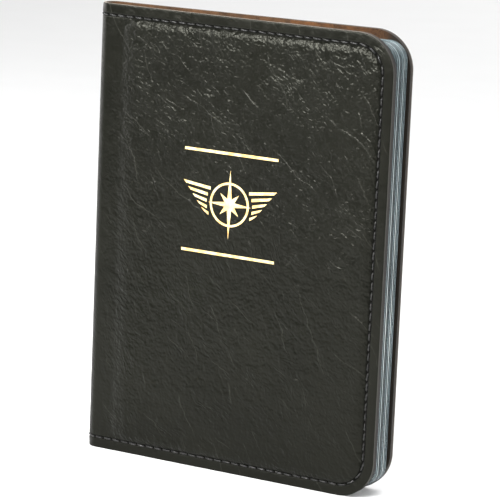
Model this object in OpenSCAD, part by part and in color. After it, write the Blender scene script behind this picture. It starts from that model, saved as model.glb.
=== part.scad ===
// Flight crew licence holder: a padded leather cover with a rounded spine,
// two inner pocket flaps and a clear insert of welded pocket leaves.
// It stands on its bottom edges: +Z up, spine at -X, fore-edge at +X,
// front cover towards -Y. The origin is under the middle of the closed holder.

/* [Cover] */
// Height of the covers
cover_h = 165; // [150:1:180]
// Width of the closed holder, from the back of the spine to the fore-edge
cover_w = 120; // [110:1:130]
// Radius of the fore-edge corners of both covers
corner_r = 14; // [12:0.5:16]
// Angle between the two closed covers, in degrees
splay = 4; // [3.6:0.1:5]
// Inner radius of the rounded spine
spine_inner_r = 2.6; // [2.6:0.1:3.2]

/* [Leather] */
// Thickness of the outer leather
leather_t = 1; // [0.8:0.1:1.2]
// Thickness of the lining
lining_t = 0.7; // [0.6:0.1:0.9]

/* [Padding] */
// Thickness of the stiffening board
board_t = 0.5; // [0.4:0.1:0.6]
// Thickness of the foam pad
foam_t = 0.6; // [0.5:0.1:0.8]
// Flat margin between the cover's edge and the foot of the padding
pad_inset = 5.5; // [5:0.1:6.5]
// Distance from the spine's centre line to the foot of the padding
pad_start = 7; // [6:0.5:12]
// Width of the sloping shoulder around the padding
shoulder = 2.5; // [2.3:0.1:3]
// Corner radius of the padding on the spine side
pad_spine_r = 4; // [3.5:0.5:6]

/* [Pocket flaps] */
// Number of stitches along the straight top edge of a flap
flap_stitches = 9; // [8:1:14]
// Thickness of the flap leather
flap_t = 0.6; // [0.5:0.1:0.6]
// Depth of the pocket between flap and lining
flap_gap = 0.4; // [0.35:0.05:0.4]
// Width of the hem that is sewn to the lining
hem_w = 4.4; // [4.4:0.1:5]

/* [Stitching] */
// Distance from the cover's edge to the seam
stitch_inset = 4; // [3.5:0.1:4.5]
// Target distance from one stitch to the next
stitch_pitch = 3.6; // [3:0.1:4.5]
// Part of the pitch that one stitch takes up
stitch_share = 0.78; // [0.6:0.02:0.84]
// Diameter of the sewing thread
thread_d = 0.45; // [0.3:0.05:0.5]
// Width of the furrow that the seam pulls into the leather
groove_w = 0.8; // [0.7:0.1:1]
// Depth of that furrow
groove_d = 0.3; // [0.2:0.05:0.3]

/* [Foil] */
// Length of the two foil rules
rule_len = 38.2; // [30:0.2:44]
// Thickness of the stroke of a rule
rule_w = 1; // [0.6:0.1:1.4]
// Distance between the two rules
rule_gap = 36.7; // [32:0.1:44]
// Distance from the spine's centre line to the middle of the foil
foil_mid_t = 54; // [50:0.5:62]
// Height of the middle of the foil
foil_mid_z = 98.5; // [80:0.5:105]
// Thickness of the foil layer
foil_t = 0.1; // [0.05:0.05:0.15]

/* [Insert] */
// Number of pocket leaves
leaf_count = 8; // [4:2:8]
// Thickness of one clear film
film_t = 0.18; // [0.14:0.01:0.18]
// Gap inside a leaf's empty pocket
pocket_gap = 0.06; // [0.04:0.01:0.06]
// Distance between neighbouring leaves at the spine
leaf_pitch = 0.4; // [0.38:0.01:0.4]
// Angle by which the outermost leaves fan out from the middle, in degrees
leaf_fan = 1.56; // [1.5:0.02:1.56]
// Distance from the cover's top or bottom edge to the leaves
leaf_margin = 3.2; // [3:0.1:4]
// Distance from the cover's fore-edge to the leaves
leaf_recess = 1; // [0.5:0.1:3]
// Radius of the leaves' fore-edge corners
leaf_r = 7; // [5:0.5:9]
// Width of the welded border around a pocket
weld_w = 3; // [2:0.5:4]
// Radius of the thumb notch in a pocket's mouth
thumb_r = 9; // [7:0.5:11]
// Thickness of the plain tuck leaves that hold the insert in the cover
tuck_t = 0.25; // [0.2:0.01:0.25]

/* [Hidden] */
LEAVES = [for (k = [1:leaf_count]) k];

$fn = 96;
hull_fn = 32;
over = 1;  // how far a cutting shape reaches past the solid it cuts

// Layers of a cover, as distances outwards from the spine's centre line
lining_in = spine_inner_r;
lining_out = lining_in + lining_t;
leather_out = lining_out + leather_t;
board_out = lining_out + board_t;
foam_out = board_out + foam_t;
crown_out = leather_out + board_t + foam_t;
flap_out = lining_in - flap_gap;
flap_in = flap_out - flap_t;

// Lengths along a cover
panel_len = cover_w - leather_out;
corner_t = panel_len - corner_r;
board_edge = 1;    // leather left between the foot of the padding and the board
foam_edge = 2.2;   // and between that foot and the foam

// The fold lines lie on the outer leather, 45 degrees round the spine
fold_at = 45;
fold_slit = 1.5;   // half of the slit at a fold line, in degrees round the spine
lip_from = 180 + fold_at + fold_slit + splay / 2;
lip_to = 270;
spine_half = fold_at - fold_slit;

// Seam
seam_r = corner_r - stitch_inset;
row_count = floor(corner_t / stitch_pitch);
row_pitch = corner_t / row_count;
edge_count = round((cover_h - 2 * corner_r) / stitch_pitch);
edge_pitch = (cover_h - 2 * corner_r) / edge_count;
bend_count = round(PI / 2 * seam_r / stitch_pitch);
bend_step = 90 / bend_count;
seam_heights = [stitch_inset, cover_h - stitch_inset];
furrow_stop = 0.2;  // the furrows stop this far from where the spine's curve begins
top_thread_n = leather_out - groove_d + thread_d / 2;
lining_thread_n = lining_in + groove_d - thread_d / 2;
flap_thread_n = flap_in + groove_d - thread_d / 2;
flap_start = corner_t - flap_stitches * row_pitch;

// Insert
turn_x = 0.3;      // the line about which all leaves turn
leaf_root = 1.7;   // distance from that line to a leaf's inner edge
leaf_end = panel_len - leaf_recess - turn_x;
mouth_x = 9.7;     // distance from that line to the mouth of a pocket
leaf_t = 2 * film_t + pocket_gap;
weld_back = -1.9;
weld_front = 0.2;
weld_half = 1.05;
tuck_start = 6;
tuck_inset = hem_w + 0.5;
tuck_n = flap_out + (flap_gap - tuck_t) / 2;

// Foil emblem
ring_r = 8;
ring_w = 0.8;
star_tall = 12.4;
star_wide = 8.8;
star_diagonal = 5.4;
star_valley = 2.2;
feather_count = 5;
feather_step = 2.3;
feather_w = 1.1;
feather_top = 5.6;
feather_rise = 1.3;
feather_cut = 1.9;
wing_gap = 1.4;

// Middle of the closed holder, seen from above, before it is centred
x_mid = (panel_len - leather_out) / 2;
pad_end = panel_len - pad_inset;
y_low = -(pad_end - shoulder) * sin(splay) - crown_out * cos(splay);
y_mid = (crown_out + y_low) / 2;

// ---------- frames ----------

// From the spine's own frame, symmetric about +X, to the standing holder
module standing() {
    translate([-x_mid, -y_mid, 0]) rotate([0, 0, -splay / 2]) children();
}

// From a cover's own frame, with its layers towards -Y, to the spine's frame
module front_side() {
    rotate([0, 0, -splay / 2]) children();
}

module rear_side() {
    mirror([0, 1, 0]) front_side() children();
}

module front_cover() {
    standing() front_side() children();
}

module rear_cover() {
    standing() rear_side() children();
}

// ---------- building shapes ----------

// A sheet outline stood upright, between two distances from the centre line
module slab(from, to) {
    rotate([90, 0, 0]) translate([0, 0, from]) linear_extrude(to - from) children();
}

// Outline with a straight spine side and two round fore-edge corners
module sheet(t0, t1, margin, r) {
    z0 = margin;
    z1 = cover_h - margin;
    translate([t0, z0]) square([t1 - r - t0, z1 - z0]);
    translate([t0, z0 + r]) square([t1 - t0, z1 - z0 - 2 * r]);
    for (z = [z0 + r, z1 - r]) translate([t1 - r, z]) circle(r);
}

// Outline of the padding, drawn in from its foot
module pad_outline(inset) {
    t0 = pad_start + inset;
    t1 = pad_end - inset;
    z0 = pad_inset + inset;
    z1 = cover_h - z0;
    r0 = pad_spine_r - inset;
    r1 = corner_r - pad_inset - inset;
    translate([t0 + r0, z0]) square([t1 - r1 - t0 - r0, z1 - z0]);
    translate([t0, z0 + r0]) square([2 * r0, z1 - z0 - 2 * r0]);
    translate([t1 - 2 * r1, z0 + r1]) square([2 * r1, z1 - z0 - 2 * r1]);
    for (z = [z0 + r0, z1 - r0]) translate([t0 + r0, z]) circle(r0);
    for (z = [z0 + r1, z1 - r1]) translate([t1 - r1, z]) circle(r1);
}

// The raised leather over the padding, with sloping shoulders
module crown() {
    skin = 0.1;
    hull() {
        slab(leather_out - skin, leather_out) pad_outline(0, $fn = hull_fn);
        slab(crown_out - skin, crown_out) pad_outline(shoulder, $fn = hull_fn);
    }
}

// Part of the rounded spine, between two radii and two angles
module spine_arc(r_in, r_out, from, to) {
    rotate([0, 0, from]) rotate_extrude(angle = to - from)
        translate([r_in, 0]) square([r_out - r_in, cover_h]);
}

// A layer of a cover seen from above: its straight part and its curved lip
module layer_section(n_in, n_out) {
    reach = 2 * leather_out;
    translate([0, -n_out]) square([panel_len + over, n_out - n_in]);
    intersection() {
        difference() {
            circle(n_out);
            circle(n_in);
        }
        polygon([[0, 0], reach * [cos(lip_from), sin(lip_from)], [-reach, -reach], [0, -reach]]);
    }
}

// A layer of a cover, with its round corners
module layer(n_in, n_out) {
    reach = 2 * leather_out;
    intersection() {
        translate([0, 0, -over]) linear_extrude(cover_h + 2 * over) layer_section(n_in, n_out);
        slab(-over, reach) sheet(-reach, panel_len, 0, corner_r);
    }
}

// Seam furrow along top, fore-edge and bottom of a cover, from t0 on
module seam_channel(from, to, t0) {
    slab(from, to) difference() {
        sheet(t0, panel_len - stitch_inset + groove_w / 2, stitch_inset - groove_w / 2,
              seam_r + groove_w / 2);
        sheet(t0 - over, panel_len - stitch_inset - groove_w / 2, stitch_inset + groove_w / 2,
              seam_r - groove_w / 2);
    }
}

// Seam furrow round the whole spine, top and bottom
module seam_ring(r_in, r_out) {
    for (z = seam_heights) translate([0, 0, z - groove_w / 2]) difference() {
        cylinder(r = r_out, h = groove_w);
        translate([0, 0, -over]) cylinder(r = r_in, h = groove_w + 2 * over);
    }
}

// The part of that furrow that lies in the curved lip of a cover
module lip_ring(r_in, r_out) {
    reach = 2 * leather_out;
    intersection() {
        seam_ring(r_in, r_out);
        translate([-reach - furrow_stop, -reach, 0]) cube([reach, reach, cover_h]);
    }
}

// ---------- thread ----------

module thread_along(t, n, z, len) {
    translate([t, -n, z]) rotate([0, 90, 0]) cylinder(d = thread_d, h = len, center = true);
}

module thread_upright(t, n, z, len) {
    translate([t, -n, z]) cylinder(d = thread_d, h = len, center = true);
}

// One bent stitch: an arc of thread about the origin, in the plane of the page
module thread_bend(r, from, angle) {
    rotate([0, 0, from]) rotate_extrude(angle = angle) translate([r, 0]) circle(d = thread_d);
}

// Stitches along the straight top and bottom edges, for rows first to last
module stitch_rows(n, first, last) {
    for (z = seam_heights, i = [first:last])
        thread_along((i + 0.5) * row_pitch, n, z, row_pitch * stitch_share);
}

// Stitches round both corners and down the fore-edge
module stitch_fore_edge(n) {
    for (i = [0:edge_count - 1])
        thread_upright(panel_len - stitch_inset, n, corner_r + (i + 0.5) * edge_pitch,
                       edge_pitch * stitch_share);
    for (side = [0, 1], i = [0:bend_count - 1])
        translate([corner_t, -n, side ? cover_h - corner_r : corner_r]) rotate([90, 0, 0])
            thread_bend(seam_r, (side ? 0 : -90) + (i + (1 - stitch_share) / 2) * bend_step,
                        bend_step * stitch_share);
}

// Stitches round the spine from one angle to another
module stitch_round(r, from, to, count) {
    step = (to - from) / count;
    for (z = seam_heights, i = [0:count - 1]) translate([0, 0, z])
        thread_bend(r, from + (i + (1 - stitch_share) / 2) * step, step * stitch_share);
}

// ---------- pieces that both covers have ----------

module cover_leather() {
    color([0.13, 0.13, 0.12]) difference() {
        union() {
            layer(lining_out, leather_out);
            crown();
        }
        slab(lining_out - over, board_out) pad_outline(board_edge);
        slab(lining_out - over, foam_out) pad_outline(foam_edge);
        seam_channel(leather_out - groove_d, leather_out + over, furrow_stop);
        lip_ring(leather_out - groove_d, leather_out + over);
    }
}

module cover_board() {
    color([0.45, 0.4, 0.33]) slab(lining_out, board_out) pad_outline(board_edge);
}

module cover_foam_pad() {
    color([0.85, 0.84, 0.78]) slab(board_out, foam_out) pad_outline(foam_edge);
}

module cover_lining() {
    color([0.36, 0.22, 0.12]) difference() {
        layer(lining_in, lining_out);
        for (z = seam_heights) translate([furrow_stop, -lining_in - groove_d, z - groove_w / 2])
            cube([flap_start - furrow_stop, groove_d + over, groove_w]);
        lip_ring(lining_in - over, lining_in + groove_d);
    }
}

module cover_pocket_flap() {
    color([0.4, 0.25, 0.14]) difference() {
        slab(flap_in, lining_in) sheet(flap_start, panel_len, 0, corner_r);
        slab(flap_out, lining_in + over)
            sheet(flap_start - over, panel_len - hem_w, hem_w, corner_r - hem_w);
        seam_channel(flap_in - over, flap_in + groove_d, flap_start - over);
    }
}

module cover_stitching() {
    color([0.06, 0.06, 0.06]) {
        stitch_rows(top_thread_n, 0, row_count - 1);
        stitch_fore_edge(top_thread_n);
        stitch_round(top_thread_n, lip_from, lip_to, 1);
    }
}

module cover_bobbin_stitching() {
    color([0.2, 0.13, 0.08]) {
        stitch_rows(lining_thread_n, 0, row_count - flap_stitches - 1);
        stitch_rows(flap_thread_n, row_count - flap_stitches, row_count - 1);
        stitch_fore_edge(flap_thread_n);
        stitch_round(lining_thread_n, lip_from, lip_to, 1);
    }
}

module tuck_leaf() {
    color([0.75, 0.82, 0.85, 0.5]) slab(tuck_n, tuck_n + tuck_t)
        sheet(tuck_start, panel_len - tuck_inset, tuck_inset, leaf_r);
}

// ---------- front cover ----------

module front_leather() {
    front_cover() cover_leather();
}

module front_board() {
    front_cover() cover_board();
}

module front_foam_pad() {
    front_cover() cover_foam_pad();
}

module front_lining() {
    front_cover() cover_lining();
}

module front_pocket_flap() {
    front_cover() cover_pocket_flap();
}

module front_stitching() {
    front_cover() cover_stitching();
}

module front_bobbin_stitching() {
    front_cover() cover_bobbin_stitching();
}

module insert_front_tuck_leaf() {
    front_cover() tuck_leaf();
}

// ---------- foil stamping ----------

module foil() {
    color([0.93, 0.78, 0.45]) front_cover() slab(crown_out, crown_out + foil_t)
        translate([foil_mid_t, foil_mid_z]) children();
}

module foil_rule(height) {
    foil() translate([0, height]) square([rule_len, rule_w], center = true);
}

module foil_rule_upper() {
    foil_rule(rule_gap / 2);
}

module foil_rule_lower() {
    foil_rule(-rule_gap / 2);
}

// Reach of the star's corner i of 16: points, diagonals and the valleys between
function star_reach(i) =
    i % 2 == 1 ? star_valley :
    i % 4 == 2 ? star_diagonal :
    i % 8 == 0 ? star_wide : star_tall;

module compass_star() {
    polygon([for (i = [0:15]) star_reach(i) * [cos(i * 22.5), sin(i * 22.5)]]);
}

module compass_ring() {
    difference() {
        circle(ring_r);
        circle(ring_r - ring_w);
    }
}

// Feather i of a wing, counted from the top, which reaches furthest
module feather(i) {
    top = feather_top - i * feather_step;
    root = sqrt(pow(ring_r + wing_gap, 2) - pow(top - feather_w / 2, 2));
    tip = rule_len / 2 - i * feather_cut;
    polygon([
        [root, top],
        [tip, top + feather_rise],
        [tip - feather_w, top + feather_rise - feather_w],
        [root, top - feather_w]
    ]);
}

module wing() {
    for (i = [0:feather_count - 1]) feather(i);
}

module foil_emblem() {
    foil() {
        compass_star();
        compass_ring();
        wing();
        mirror([1, 0]) wing();
    }
}

// ---------- spine ----------

module spine_leather() {
    color([0.13, 0.13, 0.12]) standing() difference() {
        spine_arc(lining_out, leather_out, 180 - spine_half, 180 + spine_half);
        seam_ring(leather_out - groove_d, leather_out + over);
    }
}

module spine_lining() {
    color([0.36, 0.22, 0.12]) standing() difference() {
        spine_arc(lining_in, lining_out, 180 - spine_half, 180 + spine_half);
        seam_ring(lining_in - over, lining_in + groove_d);
    }
}

module spine_stitching() {
    color([0.06, 0.06, 0.06]) standing()
        stitch_round(top_thread_n, 180 - spine_half, 180 + spine_half, 2);
}

module spine_bobbin_stitching() {
    color([0.2, 0.13, 0.08]) standing()
        stitch_round(lining_thread_n, 180 - spine_half, 180 + spine_half, 1);
}

// The bar where all films of the insert are welded together
module insert_spine_weld() {
    color([0.7, 0.78, 0.82, 0.7]) standing()
        translate([weld_back, -weld_half, leaf_margin])
            cube([weld_front - weld_back, 2 * weld_half, cover_h - 2 * leaf_margin]);
}

// ---------- rear cover ----------

module rear_leather() {
    rear_cover() cover_leather();
}

module rear_board() {
    rear_cover() cover_board();
}

module rear_foam_pad() {
    rear_cover() cover_foam_pad();
}

module rear_lining() {
    rear_cover() cover_lining();
}

module rear_pocket_flap() {
    rear_cover() cover_pocket_flap();
}

module rear_stitching() {
    rear_cover() cover_stitching();
}

module rear_bobbin_stitching() {
    rear_cover() cover_bobbin_stitching();
}

module insert_rear_tuck_leaf() {
    rear_cover() tuck_leaf();
}

// ---------- pocket leaves ----------

// Place of leaf k: -1 for the one next to the front cover, 1 next to the rear
function leaf_side(k) = (2 * k - leaf_count - 1) / (leaf_count - 1);

module leaf(k) {
    offset_y = (k - (leaf_count + 1) / 2) * leaf_pitch;
    standing() translate([turn_x, 0, 0]) rotate([0, 0, leaf_side(k) * leaf_fan])
        translate([0, offset_y + leaf_t / 2, 0]) children();
}

module leaf_base_film(k) {
    color([0.72, 0.8, 0.84, 0.5]) leaf(k)
        slab(0, film_t) sheet(leaf_root, leaf_end, leaf_margin, leaf_r);
}

// The pocket film touches the base film only along its welded border
module leaf_pocket_film(k) {
    color([0.76, 0.84, 0.88, 0.5]) leaf(k) difference() {
        slab(film_t, leaf_t) sheet(mouth_x, leaf_end, leaf_margin, leaf_r);
        slab(film_t - over, film_t + pocket_gap)
            sheet(mouth_x - over, leaf_end - weld_w, leaf_margin + weld_w, leaf_r - weld_w);
        translate([mouth_x, 0, cover_h / 2]) rotate([90, 0, 0])
            cylinder(r = thumb_r, h = 2 * over, center = true);
    }
}

front_leather();
front_board();
front_foam_pad();
front_lining();
front_pocket_flap();
front_stitching();
front_bobbin_stitching();
foil_rule_upper();
foil_rule_lower();
foil_emblem();
insert_front_tuck_leaf();
spine_leather();
spine_lining();
spine_stitching();
spine_bobbin_stitching();
insert_spine_weld();
rear_leather();
rear_board();
rear_foam_pad();
rear_lining();
rear_pocket_flap();
rear_stitching();
rear_bobbin_stitching();
insert_rear_tuck_leaf();
for (k = LEAVES) leaf_base_film(k);
for (k = LEAVES) leaf_pocket_film(k);
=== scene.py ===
"""Flight crew licence holder: the looks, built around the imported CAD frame.

Lengths in this script are millimetres until a mesh is made. A cover has its own frame:
t runs along the cover from the spine's centre line, n outwards from that line, and z up.
u runs along the outer leather: it is t on the flat, and less than 0 round the spine.
"""

import math

import bpy
import numpy as np
from mathutils import Matrix, Vector


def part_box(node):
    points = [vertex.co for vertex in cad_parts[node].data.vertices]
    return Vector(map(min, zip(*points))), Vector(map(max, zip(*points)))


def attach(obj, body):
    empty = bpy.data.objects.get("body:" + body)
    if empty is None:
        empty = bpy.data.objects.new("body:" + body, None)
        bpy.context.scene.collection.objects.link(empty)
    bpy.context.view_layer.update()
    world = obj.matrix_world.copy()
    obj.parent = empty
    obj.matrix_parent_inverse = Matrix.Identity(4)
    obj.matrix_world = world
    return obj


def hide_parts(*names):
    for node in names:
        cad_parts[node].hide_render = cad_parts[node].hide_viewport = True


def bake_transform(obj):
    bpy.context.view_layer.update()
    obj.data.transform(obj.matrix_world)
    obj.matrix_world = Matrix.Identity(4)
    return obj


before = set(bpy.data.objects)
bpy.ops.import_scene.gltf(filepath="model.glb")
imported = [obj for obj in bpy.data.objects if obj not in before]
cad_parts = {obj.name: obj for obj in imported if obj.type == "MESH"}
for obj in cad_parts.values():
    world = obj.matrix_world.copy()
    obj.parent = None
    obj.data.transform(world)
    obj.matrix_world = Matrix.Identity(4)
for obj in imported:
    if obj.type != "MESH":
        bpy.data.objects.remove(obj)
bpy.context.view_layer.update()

MM = 0.001
SIDES = ("front", "rear")
LEAVES = range(1, 9)

# ---------- sizes: the CAD part's, unless a comment says otherwise ----------

SPLAY, HALF_SPINE = math.radians(4), math.radians(88)
# levels of the layers, as n
FLAP_IN, FLAP_OUT = 1.6, 2.2
LINING_IN, LINING_OUT = 2.6, 3.3
BOARD_OUT, FOAM_OUT = 3.8, 4.4
LEATHER_OUT, CROWN_OUT = 4.3, 5.4
# outlines of the cover, the padding and the foam in it
CORNER_R = 14.0
PAD_INSET, PAD_START, PAD_SPINE_R = 5.5, 7.0, 4.0
FOAM_EDGE = 2.2
FOAM_R, FOAM_SPINE_R = CORNER_R - PAD_INSET - FOAM_EDGE, PAD_SPINE_R - FOAM_EDGE
# seam
STITCH_INSET, STITCH_PITCH, STITCH_SHARE, GROOVE_D = 4.0, 3.6, 0.78, 0.3
THREAD_R = 0.26  # a little thicker than in the CAD part
FLAP_STITCHES, HEM_W = 9, 4.4
# insert
FILM_T, FILM_OFFSET, LEAF_PITCH, LEAF_FAN = 0.18, 0.12, 0.4, math.radians(1.56)
LEAF_MARGIN, LEAF_R, WELD_W, THUMB_R, MOUTH_X = 3.2, 7.0, 3.0, 9.0, 9.7
TURN_X, LEAF_RECESS = 0.3, 1.0
TUCK_T, TUCK_START = 0.25, 6.0
TUCK_ROOT = 0.75  # the tuck leaves' level at the weld, chosen here
# foil
FOIL_T_MID, FOIL_Z_MID, RULE_LEN, RULE_GAP = 54.0, 98.5, 38.2, 36.7

rear_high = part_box("rear_leather")[1] / MM
COVER_H = rear_high.z
SPINE_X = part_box("spine_leather")[0].x / MM + LEATHER_OUT
SPINE_Y = rear_high.y - CROWN_OUT
PANEL = rear_high.x - SPINE_X
CORNER_T = PANEL - CORNER_R
SEAM_R = CORNER_R - STITCH_INSET
SIDE_LEN = COVER_H - 2 * CORNER_R
BEND_LEN = math.pi / 2 * SEAM_R
SEAM_LEN = 2 * (CORNER_T + BEND_LEN) + SIDE_LEN
ROWS = int(CORNER_T / STITCH_PITCH)
ROW_PITCH = CORNER_T / ROWS
EDGE_ROWS = round(SIDE_LEN / STITCH_PITCH)
EDGE_PITCH = SIDE_LEN / EDGE_ROWS
BEND_ROWS = round(BEND_LEN / STITCH_PITCH)
BEND_PITCH = BEND_LEN / BEND_ROWS
FLAP_START = CORNER_T - FLAP_STITCHES * ROW_PITCH
MID_SPINE_U = -HALF_SPINE * LEATHER_OUT
LEAF_END = PANEL - LEAF_RECESS - TURN_X


# ---------- places ----------


def flat_place(side):
    """A function from a cover's (t, n, z) to row-frame coordinates in metres."""
    turn, sign = (SPLAY, -1) if side == "front" else (0.0, 1)

    def place(t, n, z):
        x = t * math.cos(turn) - n * math.sin(turn)
        y = sign * n * math.cos(turn) - t * math.sin(turn)
        return np.stack([SPINE_X + x, SPINE_Y + y, z + 0 * x], -1) * MM

    return place


def cover_place(side):
    """A function from a cover's (u, n, z) to row-frame coordinates in metres."""
    flat = flat_place(side)

    def place(u, n, z):
        angle = np.clip(-u, 0, None) / LEATHER_OUT
        t = np.where(u < 0, -n * np.sin(angle), u)
        out = np.where(u < 0, n * np.cos(angle), n)
        return flat(t, out, z)

    return place


def spine_point(x, y, z):
    """Row-frame coordinates in metres of a point in the spine's own frame."""
    c, s = math.cos(SPLAY / 2), math.sin(SPLAY / 2)
    return np.stack([SPINE_X + x * c + y * s, SPINE_Y - x * s + y * c, z + 0 * x], -1) * MM


def leaf_place(k):
    """A function from (x along leaf k, y across it, z) to row-frame coordinates in metres. The
    leaves fan out evenly, from -LEAF_FAN for leaf 1 to LEAF_FAN for leaf 8."""
    fan = (2 * k - 9) / 7 * LEAF_FAN

    def place(x, y, z):
        along = TURN_X + x * math.cos(fan) - y * math.sin(fan)
        across = x * math.sin(fan) + y * math.cos(fan)
        return spine_point(along, across, z)

    return place


def seam_point(s, d):
    """(u, z) at s along a cover's seam and d from it towards the cover's edge."""
    r = SEAM_R + d
    ends = np.cumsum([CORNER_T, BEND_LEN, SIDE_LEN, BEND_LEN])
    a = np.clip((s - ends[0]) / SEAM_R, 0, math.pi / 2)
    b = np.clip((s - ends[2]) / SEAM_R, 0, math.pi / 2)
    on_rows = (s < ends[0]) | (s > ends[3])
    u = CORNER_T + r * np.where(s < ends[1], np.sin(a), np.where(s > ends[2], np.cos(b), 1))
    u = np.where(on_rows, np.where(s < ends[0], s, CORNER_T - (s - ends[3])), u)
    low = CORNER_R - r * np.cos(a)
    high = COVER_H - CORNER_R + r * np.sin(b)
    z = np.where(s < ends[1], low, np.where(s > ends[2], high, CORNER_R + s - ends[1]))
    return u, z


def seam_coordinates(u, z):
    """(s, distance from the cover's edge) of (u, z). It undoes seam_point, whose d counts
    from the seam instead."""
    low = np.minimum(z, COVER_H - z)
    a, b = u - CORNER_T, CORNER_R - low
    bend = np.arctan2(np.maximum(a, 0), np.maximum(b, 1e-9))
    corner = (a > 0) & (b > 0)
    edge = np.where(corner, CORNER_R - np.hypot(a, b), np.minimum(PANEL - u, low))
    on_side = (PANEL - u < low) & ~corner
    along_side = CORNER_T + BEND_LEN + low - CORNER_R
    half = np.where(corner, CORNER_T + bend * SEAM_R, np.where(on_side, along_side, u))
    return np.where(z > COVER_H / 2, SEAM_LEN - half, half), edge


def rounded_box_distance(u, z, u0, u1, inset, r0, r1):
    """How far (u, z) lies inside an outline with corners of radius r0 at u0 and r1 at u1."""
    low = np.minimum(z, COVER_H - z) - inset
    near = u - u0 < u1 - u
    along = np.where(near, u - u0, u1 - u)
    r = np.where(near, r0, r1)
    corner = (along < r) & (low < r)
    return np.where(corner, r - np.hypot(r - along, r - low), np.minimum(along, low))


def pad_distance(u, z):
    """How far (u, z) lies inside the foot of the padding."""
    end = PANEL - PAD_INSET
    return rounded_box_distance(u, z, PAD_START, end, PAD_INSET, PAD_SPINE_R, CORNER_R - PAD_INSET)


# ---------- noise ----------


def noise(x, y, seed):
    """Smooth noise from -1 to 1 with cells of size 1."""
    table = np.random.default_rng(seed).random((128, 128)) * 2 - 1
    xi, yi = np.floor(x).astype(int), np.floor(y).astype(int)
    fx, fy = x - xi, y - yi
    fx, fy = fx * fx * fx * (fx * (6 * fx - 15) + 10), fy * fy * fy * (fy * (6 * fy - 15) + 10)
    a, b = table[xi % 128, yi % 128], table[(xi + 1) % 128, yi % 128]
    c, d = table[xi % 128, (yi + 1) % 128], table[(xi + 1) % 128, (yi + 1) % 128]
    return (a * (1 - fx) + b * fx) * (1 - fy) + (c * (1 - fx) + d * fx) * fy


def layered_noise(u, z, size, seed, octaves=3):
    """Noise whose largest waves are size long, with finer waves on top."""
    total = 0.0
    for k in range(octaves):
        step = size / 2.1**k
        total = total + noise(u / step + 7.3 * k, z / step + 3.1 * k, seed + k) / 2**k
    return total


def smooth(x):
    x = np.clip(x, 0, 1)
    return x * x * (3 - 2 * x)


# ---------- mesh building ----------


def lines(*stretches):
    """Grid lines over (start, end, step) stretches that join end to end."""
    parts = [np.linspace(a, b, max(2, round(abs(b - a) / step) + 1))[:-1] for a, b, step in stretches]
    return np.concatenate([*parts, [stretches[-1][1]]])


def height_lines(middle_step, *stretches):
    """Grid lines from the foot of the cover to its top: the stretches rise from the lower end,
    the middle has a step of its own, and the upper end mirrors the lower one."""
    start = stretches[-1][1]
    upper = [(COVER_H - b, COVER_H - a, step) for a, b, step in reversed(stretches)]
    return lines(*stretches, (start, COVER_H - start, middle_step), *upper)


def round_corners(us, zs, inset, u1, r1, u0=None, r0=0.0):
    """A grid over us and zs whose corner squares of side r1 (at u1) and r0 (at u0) are bent
    into quarter discs, so that its border is a rounded outline. It starts and ends inset from
    the cover's foot and top."""
    u, z = np.meshgrid(us, zs)
    out_u, out_z = u.copy(), z.copy()
    for end, r, way in ((u1, r1, 1), (u0, r0, -1)):
        if end is None or r <= 0:
            continue
        for base, up in ((inset, -1), (COVER_H - inset, 1)):
            a = ((u - end) * way + r) / r
            b = ((z - base) * up + r) / r
            inside = (a > 1e-9) & (b > 1e-9)
            bent_a = a * np.sqrt(np.clip(1 - b * b / 2, 0, 1))
            bent_b = b * np.sqrt(np.clip(1 - a * a / 2, 0, 1))
            out_u = np.where(inside, end - way * r + way * r * bent_a, out_u)
            out_z = np.where(inside, base - up * r + up * r * bent_b, out_z)
    return out_u, out_z


def border_of(rows, columns):
    """Indices (row, column) round the border of a grid, once round."""
    bottom = [(0, i) for i in range(columns)]
    right = [(j, columns - 1) for j in range(1, rows)]
    top = [(rows - 1, i) for i in range(columns - 2, -1, -1)]
    left = [(j, 0) for j in range(rows - 2, 0, -1)]
    return np.array(bottom + right + top + left)


def every(count, step, all_until=0):
    """Grid line numbers with a step, all of them up to all_until, and always the last."""
    kept = list(range(0, all_until)) + list(range(all_until, count - 1, step))
    return [*dict.fromkeys(kept), count - 1]


def make_mesh(name, points, faces, materials, face_material=None, rest=None, sharp=40, seam=None):
    """An object from points in metres, smooth-shaded, with rest and seam attributes if given."""
    mesh = bpy.data.meshes.new(name)
    mesh.from_pydata(points.tolist(), [], faces)
    for m in materials:
        mesh.materials.append(m)
    if face_material is not None:
        mesh.polygons.foreach_set("material_index", face_material)
    if rest is not None:
        held = mesh.attributes.new("rest", "FLOAT_VECTOR", "POINT")
        held.data.foreach_set("vector", rest.astype(np.float32).ravel())
    if seam is not None:
        held = mesh.attributes.new("seam", "FLOAT", "POINT")
        held.data.foreach_set("value", seam.astype(np.float32))
    mesh.polygons.foreach_set("use_smooth", [True] * len(mesh.polygons))
    mesh.update()
    mesh.set_sharp_from_angle(angle=math.radians(sharp))
    piece = bpy.data.objects.new(name, mesh)
    bpy.context.scene.collection.objects.link(piece)
    return piece


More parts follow.
